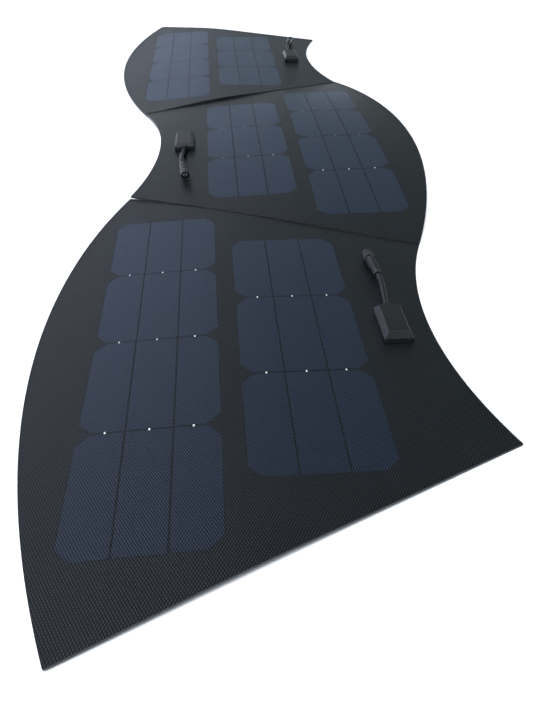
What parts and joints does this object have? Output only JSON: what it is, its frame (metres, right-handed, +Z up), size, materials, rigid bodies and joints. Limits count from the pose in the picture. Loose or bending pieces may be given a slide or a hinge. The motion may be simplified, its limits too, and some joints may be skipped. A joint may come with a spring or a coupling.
{
  "type": "flexible solar sheet",
  "caption": "Thin flexible solar laminate in an S-curved chain of fan-shaped sections, each with cell columns, a junction box and a lead.",
  "frame": {"origin": "middle of the middle section, on its underside", "axes": "+Y along the chain of sections, +X towards the outer arc of the middle section, +Z up out of the front film"},
  "size_m": [0.507, 1.6524, 0.0282],
  "materials": {
    "front_film": "embossed satin",
    "back_board": "matte",
    "silicon_cell": "satin",
    "seam_tape": "woven",
    "box_plastic": "satin",
    "circuit_board": "solder mask",
    "cable_sheath": "satin",
    "connector_plastic": "satin",
    "insert_plastic": "matte"
  },
  "bodies": {
    "middle_inner_wing": {"middle_inner_back_board": "back_board", "middle_inner_cell_string_1": "silicon_cell", "middle_inner_cell_string_2": "silicon_cell", "middle_inner_cell_string_3": "silicon_cell", "middle_inner_front_film": "front_film", "middle_box_base": "box_plastic", "middle_box_lid": "box_plastic", "middle_terminal_board": "circuit_board", "middle_cable_root": "cable_sheath", "front_seam_tape_middle_half": "seam_tape", "rear_seam_tape_middle_half": "seam_tape"},
    "middle_outer_wing": {"middle_outer_back_board": "back_board", "middle_outer_cell_string_1": "silicon_cell", "middle_outer_cell_string_2": "silicon_cell", "middle_outer_cell_string_3": "silicon_cell", "middle_outer_front_film": "front_film"},
    "middle_plug": {"middle_cable_tip": "cable_sheath", "middle_connector_body": "connector_plastic", "middle_contact_insert": "insert_plastic"},
    "middle_coupling_nut": {"middle_coupling_nut": "connector_plastic"},
    "front_inner_wing": {"front_inner_back_board": "back_board", "front_inner_cell_string_1": "silicon_cell", "front_inner_cell_string_2": "silicon_cell", "front_inner_cell_string_3": "silicon_cell", "front_inner_front_film": "front_film", "front_box_base": "box_plastic", "front_box_lid": "box_plastic", "front_terminal_board": "circuit_board", "front_cable_root": "cable_sheath", "front_seam_tape_front_half": "seam_tape"},
    "front_outer_wing": {"front_outer_back_board": "back_board", "front_outer_cell_string_1": "silicon_cell", "front_outer_cell_string_2": "silicon_cell", "front_outer_cell_string_3": "silicon_cell", "front_outer_front_film": "front_film"},
    "front_plug": {"front_cable_tip": "cable_sheath", "front_connector_body": "connector_plastic", "front_contact_insert": "insert_plastic"},
    "front_coupling_nut": {"front_coupling_nut": "connector_plastic"},
    "rear_inner_wing": {"rear_inner_back_board": "back_board", "rear_inner_cell_string_1": "silicon_cell", "rear_inner_cell_string_2": "silicon_cell", "rear_inner_cell_string_3": "silicon_cell", "rear_inner_front_film": "front_film", "rear_box_base": "box_plastic", "rear_box_lid": "box_plastic", "rear_terminal_board": "circuit_board", "rear_cable_root": "cable_sheath", "rear_seam_tape_rear_half": "seam_tape"},
    "rear_outer_wing": {"rear_outer_back_board": "back_board", "rear_outer_cell_string_1": "silicon_cell", "rear_outer_cell_string_2": "silicon_cell", "rear_outer_cell_string_3": "silicon_cell", "rear_outer_front_film": "front_film"},
    "rear_plug": {"rear_cable_tip": "cable_sheath", "rear_connector_body": "connector_plastic", "rear_contact_insert": "insert_plastic"},
    "rear_coupling_nut": {"rear_coupling_nut": "connector_plastic"}
  },
  "joints": [
    {"name": "front_seam_fold", "type": "hinge", "parent": "middle_inner_wing", "child": "front_inner_wing", "pos_m": [-0.051, -0.24925, -0.01465], "axis": [0.9196, -0.3929, -0.0081], "range_deg": [-5, 45]},
    {"name": "rear_seam_fold", "type": "hinge", "parent": "middle_inner_wing", "child": "rear_inner_wing", "pos_m": [-0.051, 0.24925, -0.0144], "axis": [-0.9196, -0.3929, 0.0094], "range_deg": [-5, 45]},
    {"name": "front_flex", "type": "hinge", "parent": "front_inner_wing", "child": "front_outer_wing", "pos_m": [-0.11021, -0.49849, -0.008], "axis": [0, 1, 0], "range_deg": [-12, 12]},
    {"name": "middle_flex", "type": "hinge", "parent": "middle_inner_wing", "child": "middle_outer_wing", "pos_m": [0.0082, 0, -0.00475], "axis": [0, -1, 0], "range_deg": [-12, 12]},
    {"name": "rear_flex", "type": "hinge", "parent": "rear_inner_wing", "child": "rear_outer_wing", "pos_m": [-0.11021, 0.49849, -0.0045], "axis": [0, 1, 0], "range_deg": [-12, 12]},
    {"name": "front_lead_swing", "type": "hinge", "parent": "front_inner_wing", "child": "front_plug", "pos_m": [0.06253, -0.44721, -0.00565], "axis": [0.03, 0, 0.9996], "range_deg": [-20, 20]},
    {"name": "middle_lead_swing", "type": "hinge", "parent": "middle_inner_wing", "child": "middle_plug", "pos_m": [-0.1649, -0.05131, 0.00359], "axis": [-0.03, 0, 0.9996], "range_deg": [-20, 20]},
    {"name": "rear_lead_swing", "type": "hinge", "parent": "rear_inner_wing", "child": "rear_plug", "pos_m": [0.06085, 0.54994, -0.00432], "axis": [0.043, 0, 0.9991], "range_deg": [-20, 20]},
    {"name": "front_nut_spin", "type": "hinge", "parent": "front_plug", "child": "front_coupling_nut", "pos_m": [0.06134, -0.37327, -0.00423], "axis": [-0.064, 0.9977, -0.024], "continuous": true},
    {"name": "middle_nut_spin", "type": "hinge", "parent": "middle_plug", "child": "middle_coupling_nut", "pos_m": [-0.16089, -0.12499, 0.00509], "axis": [0.126, -0.9918, -0.022], "continuous": true},
    {"name": "rear_nut_spin", "type": "hinge", "parent": "rear_plug", "child": "rear_coupling_nut", "pos_m": [0.07345, 0.62265, -0.00348], "axis": [0.24, 0.9701, -0.037], "continuous": true}
  ]
}
